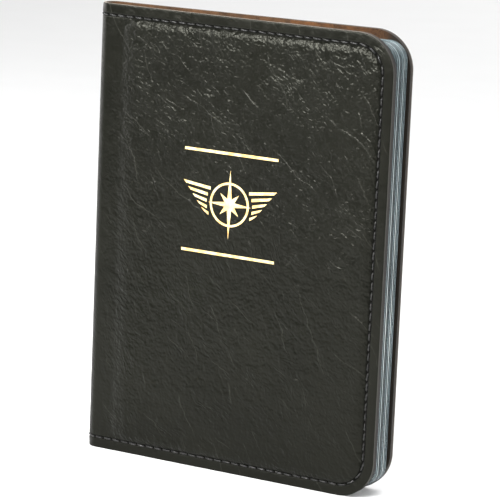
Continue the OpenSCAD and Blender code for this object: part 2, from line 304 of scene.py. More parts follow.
def sheet_solid(name, u, z, face, back, place, materials, rest, rim=0.12, open_start=False,
                coarse=4, keep_columns=0, flip=False, seam=None):
    """A closed sheet over the grid (u, z): a fine face at n = face, a coarser back at n = back,
    and a rim with a rounded edge. rest gives the texture coordinates of points (u, n, z), and
    materials are those of the face, the cut edge and the back."""
    rows, columns = u.shape
    border = border_of(rows, columns)
    bj, bi = border[:, 0], border[:, 1]
    bu, bz, bn, bb = u[bj, bi], z[bj, bi], face[bj, bi], back[bj, bi]
    du, dz = np.roll(bu, -1) - np.roll(bu, 1), np.roll(bz, -1) - np.roll(bz, 1)
    size = np.hypot(du, dz) + 1e-12
    out_u, out_z = dz / size, -du / size
    if open_start:
        out_u = np.where(bi == 0, 0, out_u)
    towards_back = np.sign(bb - bn)
    ring_u, ring_z = bu + rim * out_u, bz + rim * out_z
    first = (ring_u, bn + towards_back * rim, ring_z)
    last = (ring_u, bb, ring_z)
    back_rows = every(rows, coarse)
    back_columns = every(columns, coarse, keep_columns)
    inner = [(j, i) for j in back_rows[1:-1] for i in back_columns[1:-1]]
    ij = np.array(inner)
    u_all = np.concatenate([u.ravel(), first[0], last[0], u[ij[:, 0], ij[:, 1]]])
    n_all = np.concatenate([face.ravel(), first[1], last[1], back[ij[:, 0], ij[:, 1]]])
    z_all = np.concatenate([z.ravel(), first[2], last[2], z[ij[:, 0], ij[:, 1]]])
    grid, ring = rows * columns, len(border)
    faces, kinds = [], []
    ids = np.arange(grid).reshape(rows, columns)
    quads = np.stack([ids[:-1, :-1], ids[:-1, 1:], ids[1:, 1:], ids[1:, :-1]], -1).reshape(-1, 4)
    faces += quads.tolist()
    kinds += [0] * len(quads)
    at = ids[bj, bi]
    for k in range(ring):
        m = (k + 1) % ring
        cut = 0 if open_start and bi[k] == 0 and bi[m] == 0 else 1
        faces.append([int(at[m]), int(at[k]), grid + k, grid + m])
        kinds.append(0)
        faces.append([grid + m, grid + k, grid + ring + k, grid + ring + m])
        kinds.append(cut)
    back_id = {(int(j), int(i)): grid + ring + k for k, (j, i) in enumerate(border)}
    back_id.update({c: grid + 2 * ring + k for k, c in enumerate(inner)})
    for j0, j1 in zip(back_rows[:-1], back_rows[1:]):
        for i0, i1 in zip(back_columns[:-1], back_columns[1:]):
            loop = [(j0, i) for i in (range(i0, i1) if j0 == 0 else [i0])]
            loop += [(j, i1) for j in (range(j0, j1) if i1 == columns - 1 else [j0])]
            loop += [(j1, i) for i in (range(i1, i0, -1) if j1 == rows - 1 else [i1])]
            loop += [(j, i0) for j in (range(j1, j0, -1) if i0 == 0 else [j1])]
            faces.append([back_id[c] for c in reversed(loop)])
            kinds.append(2)
    if flip:
        faces = [f[::-1] for f in faces]
    kinds = [min(k, len(materials) - 1) for k in kinds]
    points, held = place(u_all, n_all, z_all), rest(u_all, n_all, z_all)
    near_seam = None if seam is None else seam(u_all, z_all)
    return make_mesh(name, points, faces, materials, kinds, held, seam=near_seam)


def cover_rest(u, n, z):
    return np.stack([u, z, n], -1)


# ---------- materials ----------


def add(tree, kind, inputs=None, **settings):
    """A node whose inputs are linked where a socket is given, and set where a value is."""
    node = tree.nodes.new("ShaderNode" + kind)
    for key, value in settings.items():
        setattr(node, key, value)
    for key, value in (inputs or {}).items():
        if isinstance(value, bpy.types.NodeSocket):
            tree.links.new(value, node.inputs[key])
        else:
            node.inputs[key].default_value = value
    return node


def calc(tree, operation, *values, clamp=False):
    return add(tree, "Math", dict(enumerate(values)), operation=operation, use_clamp=clamp).outputs[0]


def ramp(tree, value, low, high, out_low=0.0, out_high=1.0):
    inputs = {"Value": value, "From Min": low, "From Max": high, "To Min": out_low, "To Max": out_high}
    return add(tree, "MapRange", inputs, clamp=True).outputs["Result"]


def weighted_sum(tree, *terms):
    """The sum of the values, each times its weight."""
    total = None
    for value, weight in terms:
        part = calc(tree, "MULTIPLY", value, weight)
        total = part if total is None else calc(tree, "ADD", total, part)
    return total


def mix_colour(tree, share, a, b):
    """A colour from a to b. Each is a socket or the three values of a colour."""
    node = add(tree, "Mix", data_type="RGBA", clamp_factor=True)
    for key, value in (("Factor_Float", share), ("A_Color", a), ("B_Color", b)):
        socket = next(s for s in node.inputs if s.identifier == key)
        if isinstance(value, bpy.types.NodeSocket):
            tree.links.new(value, socket)
        else:
            socket.default_value = (*value, 1) if isinstance(value, tuple) else value
    return next(s for s in node.outputs if s.identifier == "Result_Color")


def part_of(tree, vector, axis):
    """One of a vector's three values."""
    return add(tree, "SeparateXYZ", {0: vector}).outputs[axis]


def cell_distance(tree, at, scale):
    """The distance to the middle of the nearest of many cells, scale of them in a millimetre."""
    return add(tree, "TexVoronoi", {"Vector": at, "Scale": scale}, feature="F1").outputs["Distance"]


def rest_coordinates(tree):
    """The rest attribute in millimetres: along, up, and a third value of the piece's own."""
    return add(tree, "Attribute", attribute_name="rest", attribute_type="GEOMETRY").outputs["Vector"]


def object_coordinates(tree):
    """Object coordinates in millimetres, for the CAD nodes and the floor."""
    at = add(tree, "TexCoord").outputs["Object"]
    return add(tree, "VectorMath", {0: at, "Scale": 1 / MM}, operation="SCALE").outputs["Vector"]


def wave(tree, at, size, detail=2.0, distortion=0.0, roughness=0.5):
    """Noise from 0 to 1 with waves of a size in millimetres."""
    inputs = {"Vector": at, "Scale": 1 / size, "Detail": detail}
    inputs.update({"Distortion": distortion, "Roughness": roughness})
    return add(tree, "TexNoise", inputs).outputs["Fac"]


def new_material(name):
    made = bpy.data.materials.new(name)
    made.use_nodes = True
    tree = made.node_tree
    return made, tree, tree.nodes["Principled BSDF"]


def connect(tree, shader, **sockets):
    """Links or sets the shader's inputs; Base_Color stands for Base Color."""
    for key, value in sockets.items():
        socket = shader.inputs[key.replace("_", " ")]
        if isinstance(value, bpy.types.NodeSocket):
            tree.links.new(value, socket)
        else:
            socket.default_value = value


def bump(tree, height, size=1.0):
    """A normal from a height of size millimetres for each unit."""
    inputs = {"Height": height, "Strength": 1.0, "Distance": size * MM}
    return add(tree, "Bump", inputs).outputs["Normal"]


def shifted(tree, at, along, up):
    return add(tree, "Mapping", {"Vector": at, "Location": (along, up, 0.0)}).outputs[0]


def turned_by(tree, at, angle):
    inputs = {"Vector": at, "Angle": math.radians(angle)}
    return add(tree, "VectorRotate", inputs, rotation_type="Z_AXIS").outputs[0]


def crease_lines(tree, at, angle, spacing, shift, width, patch):
    """Long thin creases that run at an angle in degrees, 1 on a crease and 0 off it. They bend
    slowly, lie about two spacings apart, are twice width wide at the foot, and show only in
    long patches."""
    turned = turned_by(tree, shifted(tree, at, shift, 1.7 * shift), angle)
    drift_by, jitter_by = 10.4, 1.5
    drift = calc(tree, "SUBTRACT", wave(tree, turned, 19.0, 1.5), 0.5)
    jitter = calc(tree, "SUBTRACT", wave(tree, turned, 3.1, 2.0), 0.5)
    across = calc(tree, "MULTIPLY_ADD", drift, drift_by, part_of(tree, turned, 1))
    across = calc(tree, "MULTIPLY_ADD", jitter, jitter_by, across)
    off = calc(tree, "PINGPONG", across, spacing)
    line = ramp(tree, off, 0.0, width, 1.0, 0.0)
    stretched = add(tree, "Mapping", {"Vector": turned, "Scale": (0.35, 1.0, 0.0)}).outputs[0]
    where = ramp(tree, wave(tree, stretched, patch, 2.0), 0.52, 0.62)
    return calc(tree, "MULTIPLY", line, where)


def crease_net(tree, at, angle, shift, short, long, width, patch):
    """A net of branching creases stretched along an angle in degrees, 1 on a crease and 0 off
    it. Its meshes measure short by long, and it shows in soft patches only."""
    moved = shifted(tree, at, shift, 0.6 * shift)
    turned = turned_by(tree, moved, angle)
    drift = add(tree, "TexNoise", {"Vector": turned, "Scale": 1 / 6.0, "Detail": 2.0}).outputs["Color"]
    drift = add(tree, "VectorMath", {0: drift, 1: (-0.5, -0.5, -0.5)}, operation="ADD").outputs[0]
    inputs = {0: drift, 1: (3.0, 5.0, 0.0), 2: turned}
    bent = add(tree, "VectorMath", inputs, operation="MULTIPLY_ADD").outputs[0]
    flat = add(tree, "Mapping", {"Vector": bent, "Scale": (1 / long, 1 / short, 0.0)}).outputs[0]
    walls = add(tree, "TexVoronoi", {"Vector": flat, "Scale": 1.0}, feature="DISTANCE_TO_EDGE")
    line = ramp(tree, walls.outputs["Distance"], 0.0, width / short, 1.0, 0.0)
    return calc(tree, "MULTIPLY", line, ramp(tree, wave(tree, moved, patch, 2.0), 0.46, 0.60))


def leather_creases(tree, at):
    """(long lines, all creases), 1 on a crease and 0 off it."""
    steep = crease_lines(tree, at, angle=66, spacing=3.1, shift=11.0, width=0.46, patch=9.0)
    slant = crease_lines(tree, at, angle=36, spacing=3.8, shift=57.0, width=0.42, patch=8.0)
    steep_net = crease_net(tree, at, angle=62, shift=21.0, short=2.1, long=9.0, width=0.5, patch=17.0)
    slant_net = crease_net(tree, at, angle=32, shift=83.0, short=1.9, long=7.0, width=0.5, patch=14.0)
    grain_net = crease_net(tree, at, angle=48, shift=47.0, short=1.5, long=2.6, width=0.45, patch=24.0)
    nets = calc(tree, "MAXIMUM", steep_net, slant_net)
    nets = calc(tree, "MAXIMUM", nets, calc(tree, "MULTIPLY", grain_net, 0.7))
    long_lines = calc(tree, "MAXIMUM", steep, slant)
    return long_lines, calc(tree, "MAXIMUM", calc(tree, "MULTIPLY", long_lines, 0.8), nets)


def stretched_flat(tree, at):
    """Less than 1 where the leather is pulled tight: outside the seam and near the spine."""
    along, up = part_of(tree, at, 0), part_of(tree, at, 1)
    low = calc(tree, "MINIMUM", up, calc(tree, "SUBTRACT", COVER_H, up))
    edge = calc(tree, "MINIMUM", low, calc(tree, "SUBTRACT", PANEL, along))
    by_seam = ramp(tree, edge, 3.4, 5.0, 0.3, 1.0)
    by_spine = ramp(tree, along, 1.0, 9.0, 0.35, 1.0)
    return calc(tree, "MULTIPLY", by_seam, by_spine)


def black_leather():
    """Black leather: creases, cells, pores and mottle in relief. Its long creases are painted paler, partly
    as wear and partly as a painted highlight, and its seam's furrow is painted near black as shade.
    """
    made, tree, shader = new_material("black_leather")
    at = rest_coordinates(tree)
    long_lines, creases = leather_creases(tree, at)
    cells = cell_distance(tree, at, 0.95)
    pores = wave(tree, at, 1.0, 0.0)
    mottle = wave(tree, at, 4.0, 1.0, 0.4)
    height = weighted_sum(tree, (creases, 0.12), (cells, 0.08), (pores, 0.17), (mottle, 0.45))
    height = calc(tree, "MULTIPLY", calc(tree, "SUBTRACT", height, 0.39), stretched_flat(tree, at))
    tone = ramp(tree, wave(tree, at, 30, 3.0), 0.35, 0.65)
    colour = mix_colour(tree, tone, (0.0014, 0.0016, 0.0008), (0.0028, 0.003, 0.0018))
    # the long creases are painted paler: partly wear, partly a painted highlight on their ridges
    wear_and_highlight = calc(tree, "MULTIPLY", calc(tree, "POWER", long_lines, 3.0), 0.3)
    colour = mix_colour(tree, wear_and_highlight, colour, (0.06, 0.06, 0.05))
    # painted shade: the seam attribute darkens the colour nearly to black in the seam's furrow and needle
    # holes
    seam = add(tree, "Attribute", attribute_name="seam", attribute_type="GEOMETRY").outputs["Fac"]
    colour = mix_colour(tree, seam, colour, (0.001, 0.001, 0.001))
    rough = ramp(tree, mottle, 0.3, 0.7, 0.31, 0.39)
    rough = calc(tree, "ADD", rough, calc(tree, "MULTIPLY", seam, 0.5), clamp=True)
    connect(tree, shader, Base_Color=colour, Roughness=rough, Normal=bump(tree, height))
    connect(tree, shader, Specular_IOR_Level=0.17, Specular_Tint=(1.0, 1.0, 0.86, 1))
    return made


def cut_edge(name, dark, light, fore_edge_shade_colour):
    """The cut edge of a layer: fibres and patches of dressing, painted darker at the fore-edge as shade."""
    made, tree, shader = new_material(name)
    at = rest_coordinates(tree)
    fibres = wave(tree, at, 0.4, 4.0, 0.5)
    patches = wave(tree, at, 9.0, 2.0)
    share = calc(tree, "ADD", ramp(tree, fibres, 0.3, 0.7, 0, 0.5), ramp(tree, patches, 0.35, 0.65, 0, 0.5))
    colour = mix_colour(tree, share, dark, light)
    # painted shade: the cut edge is darker towards the fore-edge than at the top, which the light falls on
    fore_edge_shade = ramp(tree, part_of(tree, at, 0), PANEL - 15, PANEL - 6)
    colour = mix_colour(tree, fore_edge_shade, colour, fore_edge_shade_colour)
    connect(tree, shader, Base_Color=colour, Roughness=0.75, Normal=bump(tree, fibres, 0.2))
    return made


def brown_lining(name, shade_from, dark, light, tips):
    """Split leather with a nap, painted dark as shade from shade_from to the fore-edge."""
    made, tree, shader = new_material(name)
    at = rest_coordinates(tree)
    nap = wave(tree, at, 0.55, 5.0, 0.4, 0.62)
    patches = wave(tree, at, 7.0, 3.0, 0.6)
    colour = mix_colour(tree, ramp(tree, patches, 0.36, 0.64), dark, light)
    colour = mix_colour(tree, ramp(tree, nap, 0.4, 0.7, 0, 0.4), colour, tips)
    # painted shade of the crevice by the fore-edge: the colour darkens nearly to black
    along = calc(tree, "MULTIPLY_ADD", patches, 6.0, part_of(tree, at, 0))
    painted_shade = ramp(tree, along, shade_from, shade_from + 4)
    colour = mix_colour(tree, painted_shade, colour, (0.012, 0.009, 0.006))
    connect(tree, shader, Base_Color=colour, Roughness=0.86, Normal=bump(tree, nap, 0.3))
    connect(tree, shader, Sheen_Weight=0.12, Sheen_Roughness=0.45, Specular_IOR_Level=0.2)
    return made


def thread(name, dark, light):
    """Waxed, twisted thread: rest holds the way along the seam, across it and out of it. Its light specks
    are painted glints.
    """
    made, tree, shader = new_material(name)
    at = rest_coordinates(tree)
    fuzz = wave(tree, at, 0.16, 3.0)
    # light specks painted into the colour as glints
    painted_glint = wave(tree, at, 0.9, 1.0)
    colour = mix_colour(tree, ramp(tree, painted_glint, 0.45, 0.65), dark, light)
    connect(tree, shader, Base_Color=colour, Roughness=0.3, Normal=bump(tree, fuzz, 0.05))
    return made


def gold_foil():
    made, tree, shader = new_material("gold_foil")
    at = object_coordinates(tree)
    patches = wave(tree, at, 3.2, 3.0, 0.4)
    specks = wave(tree, at, 0.5, 3.0)
    colour = mix_colour(tree, ramp(tree, patches, 0.35, 0.62), (1.0, 0.86, 0.46), (0.95, 0.60, 0.20))
    colour = mix_colour(tree, ramp(tree, specks, 0.66, 0.74), colour, (0.16, 0.10, 0.05))
    rough = ramp(tree, specks, 0.3, 0.7, 0.3, 0.46)
    connect(tree, shader, Base_Color=colour, Roughness=rough, Normal=bump(tree, specks, 0.03))
    connect(tree, shader, Metallic=0.35)
    return made


def cardboard():
    made, tree, shader = new_material("cardboard")
    at = object_coordinates(tree)
    fibres = wave(tree, at, 0.8, 5.0, 0.6)
    colour = mix_colour(tree, fibres, (0.30, 0.26, 0.20), (0.48, 0.43, 0.35))
    connect(tree, shader, Base_Color=colour, Roughness=0.9, Normal=bump(tree, fibres, 0.08))
    return made


def foam():
    made, tree, shader = new_material("foam")
    at = rest_coordinates(tree)
    cells = cell_distance(tree, at, 2.2)
    colour = mix_colour(tree, ramp(tree, cells, 0.1, 0.6), (0.55, 0.54, 0.48), (0.84, 0.83, 0.77))
    connect(tree, shader, Base_Color=colour, Roughness=0.95, Normal=bump(tree, cells, 0.25))
    return made


def clear_film(name, alpha, tint, weld=0.0):
    """Clear film. The third rest value is the distance from the film's edge in millimetres."""
    made, tree, shader = new_material(name)
    at = rest_coordinates(tree)
    waves = wave(tree, at, 9.0, 2.0, 0.3)
    scuffs = wave(tree, at, 1.1, 4.0, 1.2)
    border = ramp(tree, part_of(tree, at, 2), WELD_W - 0.3, WELD_W + 0.2, 1.0, 0.0)
    clear = ramp(tree, scuffs, 0.55, 0.8, alpha, alpha + 0.05)
    clear = calc(tree, "ADD", clear, calc(tree, "MULTIPLY", border, weld), clamp=True)
    height = weighted_sum(tree, (waves, 0.05), (scuffs, 0.012))
    colour = mix_colour(tree, border, tint, (0.24, 0.31, 0.33))
    rough = ramp(tree, scuffs, 0.35, 0.75, 0.08, 0.2)
    connect(tree, shader, Base_Color=colour, Roughness=rough, Alpha=clear, Normal=bump(tree, height))
    connect(tree, shader, IOR=1.53, Specular_IOR_Level=0.6)
    return made


def film_edge(name, dark, light):
    """The cut edge of a film, where light that runs inside it comes out."""
    made, tree, shader = new_material(name)
    at = rest_coordinates(tree)
    streaks = wave(tree, at, 45.0, 1.0, 0.3)
    colour = mix_colour(tree, ramp(tree, streaks, 0.35, 0.65), dark, light)
    connect(tree, shader, Base_Color=colour, Roughness=0.25, IOR=1.53)
    return made


LEATHER = black_leather()
# The last colour of each cut edge is painted shade for its fore-edge.
FRONT_CUT = cut_edge("front_cut_edge", (0.16, 0.14, 0.11), (0.36, 0.32, 0.26), (0.03, 0.028, 0.021))
REAR_CUT = cut_edge("rear_cut_edge", (0.06, 0.05, 0.04), (0.20, 0.17, 0.14), (0.07, 0.058, 0.046))
LEATHER_EDGE = {"front": FRONT_CUT, "rear": REAR_CUT}
# A darker copy of the flap's brown leather: its darkness is painted shade of the narrow gap between the
# covers.
SHADED_LINING = brown_lining(
    "brown_lining", PANEL + 10, (0.022, 0.011, 0.005), (0.085, 0.040, 0.017), (0.15, 0.085, 0.045)
)
LINING_EDGE = cut_edge(
    "lining_cut_edge", (0.03, 0.02, 0.013), (0.085, 0.058, 0.038), (0.010, 0.008, 0.006)
)
# The flap's last millimetres before the fore-edge are painted dark as shade.
FLAP = brown_lining(
    "flap_leather", PANEL - 9, (0.024, 0.010, 0.004), (0.12, 0.048, 0.016), (0.20, 0.10, 0.04)
)
BLACK_THREAD = thread("black_thread", (0.006, 0.006, 0.006), (0.035, 0.035, 0.032))
BROWN_THREAD = thread("brown_thread", (0.05, 0.03, 0.016), (0.13, 0.085, 0.05))
GOLD = gold_foil()
BOARD = cardboard()
FOAM = foam()
FILM = clear_film("clear_pvc", 0.12, (0.42, 0.49, 0.51), 0.12)
WELDED = clear_film("welded_pvc", 0.75, (0.30, 0.38, 0.41), 0.1)
PLAIN_EDGE = film_edge("film_edge_plain", (0.15, 0.19, 0.20), (0.32, 0.39, 0.41))
BRIGHT_EDGE = film_edge("film_edge_bright", (0.38, 0.44, 0.45), (0.85, 0.90, 0.88))
DIM_EDGE = film_edge("film_edge_dim", (0.018, 0.024, 0.026), (0.045, 0.06, 0.064))


# ---------- the leather's relief ----------


def stitch_phase(s):
    """Where s lies between two needle holes: 0 at a hole, 1 at the next."""
    bend = CORNER_T + BEND_LEN
    half = np.minimum(s, SEAM_LEN - s)
    on_bend = (half - CORNER_T) / BEND_PITCH
    on_side = (half - bend) / EDGE_PITCH
    count = np.where(half < CORNER_T, half / ROW_PITCH, np.where(half < bend, on_bend, on_side))
    return count - np.floor(count)


def hole_distance(phase):
    """The way along the seam to the nearest needle hole."""
    return np.minimum(phase, 1 - phase) * STITCH_PITCH


def from_foil(u, z):
    """0 on the foil's field and 1 away from it."""
    margin, fade = 2, 5
    du = np.abs(u - FOIL_T_MID) - RULE_LEN / 2 - margin
    dz = np.abs(z - FOIL_Z_MID) - RULE_GAP / 2 - margin
    return smooth(np.maximum(du, dz) / fade)


def crease_paths(seed, count):
    """Long soft creases that fall away from the spine: arrays of (u, z) points and depths."""
    rng = np.random.default_rng(seed)
    step = 1.1
    paths = []
    for _ in range(count):
        at = np.array([rng.uniform(8, 100), rng.uniform(12, COVER_H - 8)])
        heading = -math.radians(rng.choice([62, 40, 28], p=[0.45, 0.3, 0.25]) + rng.normal(0, 8))
        curl = rng.normal(0, 0.02)
        points = [at]
        for _ in range(int(rng.uniform(7, 26))):
            heading += curl + rng.normal(0, 0.05)
            points.append(points[-1] + step * np.array([math.cos(heading), math.sin(heading)]))
        paths.append((np.array(points), rng.uniform(0.03, 0.075)))
    return paths


def creased(u, z, seed, count):
    """Height of the soft creases: a furrow with a raised lip beside it."""
    reach, fade_len = 2, 4
    lip_at, lip_w, lip_h, furrow_w = 0.8, 0.55, 0.8, 0.5
    total = np.zeros(u.shape)
    for path, depth in crease_paths(seed, count):
        low, high = path.min(0) - reach, path.max(0) + reach
        near = (u > low[0]) & (u < high[0]) & (z > low[1]) & (z < high[1])
        p = np.stack([u[near], z[near]], -1)
        best, across = np.full(len(p), 1e9), np.zeros(len(p))
        for a, b in zip(path[:-1], path[1:]):
            d = b - a
            k = np.clip((p - a) @ d / (d @ d), 0, 1)
            gap = p - a - k[:, None] * d
            far = np.hypot(gap[:, 0], gap[:, 1])
            closer = far < best
            best = np.where(closer, far, best)
            across = np.where(closer, np.sign(gap[:, 0] * d[1] - gap[:, 1] * d[0]), across)
        ends = np.hypot(*(p - path[0]).T), np.hypot(*(p - path[-1]).T)
        fade = smooth(np.minimum(*ends) / fade_len)
        lip = lip_h * np.exp(-(((best * across - lip_at) / lip_w) ** 2))
        shape = lip - np.exp(-((best / furrow_w) ** 2))
        total[near] += depth * fade * shape
    return total


CREASES = 46
RISE, DOME = 1.0, 0.12
FURROW_D, FURROW_W = 0.36, 0.5
HOLE_D, HOLE_W, HOLE_LEN = 0.35, 0.34, 0.42


def crown(s, u, edge, seed, pad, pull):
    """How far the padding has risen, from 0 on the margin to 1, drawn in at the needle holes."""
    near_seam = np.exp(-np.clip(edge - STITCH_INSET, 0, None) / 2.2)
    by_edges = smooth((4.5 - np.abs(pad - (edge - PAD_INSET))) / 3)
    loose = pad + 1.15 - 0.12 * pull * by_edges + 0.22 * noise(s / 2.3, edge / 9, seed + 1) * near_seam
    rise = np.sin(math.pi / 2 * np.clip(loose / 3.4, 0, 1)) ** 0.9
    return rise * smooth((u - 4.5) / 9)


def seam_relief(edge, phase, pull):
    """The furrow of the seam with its needle holes, and the leather that stands up beside it."""
    across = edge - STITCH_INSET
    furrow = np.exp(-((across / FURROW_W) ** 2))
    holes = np.exp(-((across / HOLE_W) ** 2) - (hole_distance(phase) / HOLE_LEN) ** 2)
    lip = 0.05 * np.exp(-(((across + 1.2) / 0.8) ** 2)) * (1 + 0.6 * pull)
    return lip - FURROW_D * furrow - HOLE_D * holes


def puckers(s, u, z, edge, seed):
    """Small folds that run away from the seam, and those across the leather by the spine."""
    reach = 3.2 + 2.2 * smooth(noise(s / 9, 0 * s, seed + 5) * 0.5 + 0.5)
    decay = np.exp(-np.clip(edge - 4.4, 0, None) / reach) * smooth((edge - 4.2) / 0.8)
    fold = 0.09 * noise(s / 1.25, edge / 14, seed + 2) + 0.05 * noise(s / 0.7, edge / 9, seed + 3)
    patches = 0.35 + 0.65 * smooth(noise(s / 7, 0 * s, seed + 4) + 0.5)
    by_spine = np.exp(-(((u - 9.5) / 3.0) ** 2)) * smooth((edge - 7) / 4)
    spine_fold = 0.045 * noise(z / 1.2, u / 8, seed + 6) + 0.03 * noise(z / 3.1, u / 12, seed + 7)
    return fold * decay * patches + by_spine * spine_fold


def skin_waves(u, z, pad, seed):
    """The skin's own waves and creases, which are weaker on the margin and under the foil."""
    on_pad = smooth(pad / 3)
    waves = 0.07 * layered_noise(u, z, 15, seed + 10, 3)
    waves += 0.022 * layered_noise(u * 0.8 + z * 0.6, (z * 0.8 - u * 0.6) / 2.4, 2.6, seed + 20, 2)
    waves += creased(u, z, seed + 30, CREASES)
    margin = 0.012 * layered_noise(u, z, 4, seed + 40, 3)
    return on_pad * (0.3 + 0.7 * from_foil(u, z)) * waves + (1 - on_pad) * margin


def leather_face(side, u, z):
    """n of the outer leather: margin, seam, puckers, padded crown, waves and creases."""
    seed = 100 if side == "front" else 500
    s, edge = seam_coordinates(u, z)
    pad = pad_distance(u, z)
    phase = stitch_phase(s)
    pull = np.cos(2 * math.pi * phase)
    face = LEATHER_OUT + RISE * crown(s, u, edge, seed, pad, pull) + DOME * smooth(pad / 24)
    face += seam_relief(edge, phase, pull)
    face += puckers(s, u, z, edge, seed)
    face += skin_waves(u, z, pad, seed)
    # the margin thins out towards the cut edge
    return face - 0.16 * np.exp(-edge / 0.8)


def seam_shade(u, z):
    """1 in the seam's furrow and needle holes, where the leather's colour is darkened as painted shadow,
    and 0 off it.
    """
    s, edge = seam_coordinates(u, z)
    across = edge - STITCH_INSET
    hole = np.exp(-((across / 0.5) ** 2) - (hole_distance(stitch_phase(s)) / 0.6) ** 2)
    return np.clip(1.1 * np.exp(-((across / 0.62) ** 4)) + hole, 0, 1)


def leather_back(u, z):
    """n of the leather's inner face: flat at the margin, hollow over the board and foam."""
    pad = pad_distance(u, z)
    return LINING_OUT + (FOAM_OUT - LINING_OUT) * smooth((pad - 0.4) / 1.8)


# ---------- pieces ----------

COVER_BODY = {"front": "front_cover", "rear": "rear_cover"}
FOLD_DEGREES = (195, 255)
FINE, MEDIUM = 0.24, 0.55


def bend_with_fold(piece, side):
    """Bakes the piece's place into its mesh. The ends of the fold between spine and cover, over 60 degrees
    of the spine's round, are worked out but not used: nothing bends.
    """
    sign = -1 if side == "front" else 1
    ends = []
    for degrees in FOLD_DEGREES:
        a = math.radians(degrees)
        y = -sign * LEATHER_OUT * math.sin(a)
        ends.append(spine_point(LEATHER_OUT * math.cos(a), y, COVER_H / 2))
    if side == "rear":
        ends.reverse()
    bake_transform(piece)


def with_spine(side, node):
    """The CAD nodes that a cover half's piece stands for: the front one has the spine's too."""
    return [f"{side}_{node}"] + ([f"spine_{node}"] if side == "front" else [])


def inner_furrow(edge):
    """The seam's furrow on the inside of the cover, 1 at its bottom."""
    return np.exp(-(((edge - STITCH_INSET) / 0.5) ** 2))


def outer_leather(side):
    """Half of the outer leather, from the middle of the spine: fine at the seam."""
    rim = 0.14
    us = lines((MID_SPINE_U, 0, 0.33), (0, 6, 0.4), (6, CORNER_T - 2, MEDIUM),
               (CORNER_T - 2, PANEL - 9, 0.45), (PANEL - 9, PANEL - 3, FINE), (PANEL - 3, PANEL - rim, 0.3))
    zs = height_lines(MEDIUM, (rim, 3, 0.3), (3, 9, FINE), (9, 16, 0.45))
    u, z = round_corners(us, zs, rim, PANEL - rim, CORNER_R - rim)
    piece = sheet_solid(
        f"{side}_leather_skin", u, z, leather_face(side, u, z), leather_back(u, z), cover_place(side),
        [LEATHER, LEATHER_EDGE[side], LINING_EDGE], cover_rest, rim=rim, open_start=True,
        coarse=4, keep_columns=int(np.searchsorted(us, 6.0)), flip=side == "rear", seam=seam_shade,
    )
    bend_with_fold(piece, side)
    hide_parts(*with_spine(side, "leather"))


def lining(side):
    """Half of the lining, from the middle of the spine."""
    rim = 0.1
    seed = 900 if side == "front" else 950
    us = lines((MID_SPINE_U, 0, 0.4), (0, 8, 0.8), (8, PANEL - 16, 1.3), (PANEL - 16, PANEL - rim, 0.7))
    zs = height_lines(1.3, (rim, 3, 0.6), (3, 5, 0.25), (5, 16, 0.8))
    u, z = round_corners(us, zs, rim, PANEL - rim, CORNER_R - rim)
    edge = seam_coordinates(u, z)[1]
    furrow = 0.25 * inner_furrow(edge) * smooth((FLAP_START - u) / 0.5)
    visible = smooth((FLAP_START - 1 - u) / 3)
    waves = 0.05 * layered_noise(u, z, 13, seed, 3) * smooth(edge / 3) * visible
    face = LINING_IN + furrow + waves + 0.06 * np.exp(-edge / 0.6)
    piece = sheet_solid(
        f"{side}_suede_lining", u, z, face, np.full(u.shape, LINING_OUT), cover_place(side),
        [SHADED_LINING, LINING_EDGE, SHADED_LINING], cover_rest, rim=rim, open_start=True,
        coarse=3, keep_columns=int(np.searchsorted(us, 1.0)), flip=side == "front",
    )
    bend_with_fold(piece, side)
    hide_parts(*with_spine(side, "lining"))


def pocket_flap(side):
    """The inner flap, thick at the seam and standing off the lining over its pocket."""
    rim = 0.1
    seed = 700 if side == "front" else 750
    start = FLAP_START + rim
    us = lines((start, PANEL - 6, 1.0), (PANEL - 6, PANEL - 3, 0.24), (PANEL - 3, PANEL - rim, 0.4))
    zs = height_lines(1.0, (rim, 3, 0.4), (3, 6, 0.24))
    u, z = round_corners(us, zs, rim, PANEL - rim, CORNER_R - rim)
    edge = seam_coordinates(u, z)[1]
    over_pocket = smooth((edge - HEM_W) / 2)
    face = FLAP_IN + 0.24 * inner_furrow(edge) + 0.05 * np.exp(-edge / 0.6)
    face += 0.04 * layered_noise(u, z, 17, seed, 2) * over_pocket
    back = FLAP_OUT + (LINING_IN - FLAP_OUT) * (1 - smooth((edge - HEM_W + 0.2) / 0.4))
    piece = sheet_solid(
        f"{side}_flap", u, z, face, back, cover_place(side), [FLAP, LINING_EDGE, FLAP], cover_rest,
        rim=rim, coarse=2, flip=side == "front",
    )
    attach(piece, COVER_BODY[side])
    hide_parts(f"{side}_pocket_flap")


def foam_pad(side):
    """The foam under the leather: crowned, with soft shoulders."""
    inset = PAD_INSET + FOAM_EDGE
    low, high = PAD_START + FOAM_EDGE, PANEL - inset
    us = lines((low, low + 6, 0.7), (low + 6, high - 8, 2.0), (high - 8, high, 0.7))
    zs = height_lines(2.0, (inset, inset + 8, 0.7))
    u, z = round_corners(us, zs, inset, high, FOAM_R, low, FOAM_SPINE_R)
    inside = rounded_box_distance(u, z, low, high, inset, FOAM_SPINE_R, FOAM_R)
    swell = np.sin(math.pi / 2 * np.clip(inside / 2.4, 0, 1)) ** 0.7
    face = BOARD_OUT + 0.22 + (FOAM_OUT - BOARD_OUT - 0.24) * swell
    face += 0.015 * layered_noise(u, z, 9, 40, 2)
    piece = sheet_solid(
        f"{side}_foam", u, z, face, np.full(u.shape, BOARD_OUT), cover_place(side), [FOAM], cover_rest,
        rim=0.05, coarse=3, flip=side == "rear",
    )
    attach(piece, COVER_BODY[side])
    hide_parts(f"{side}_foam_pad")


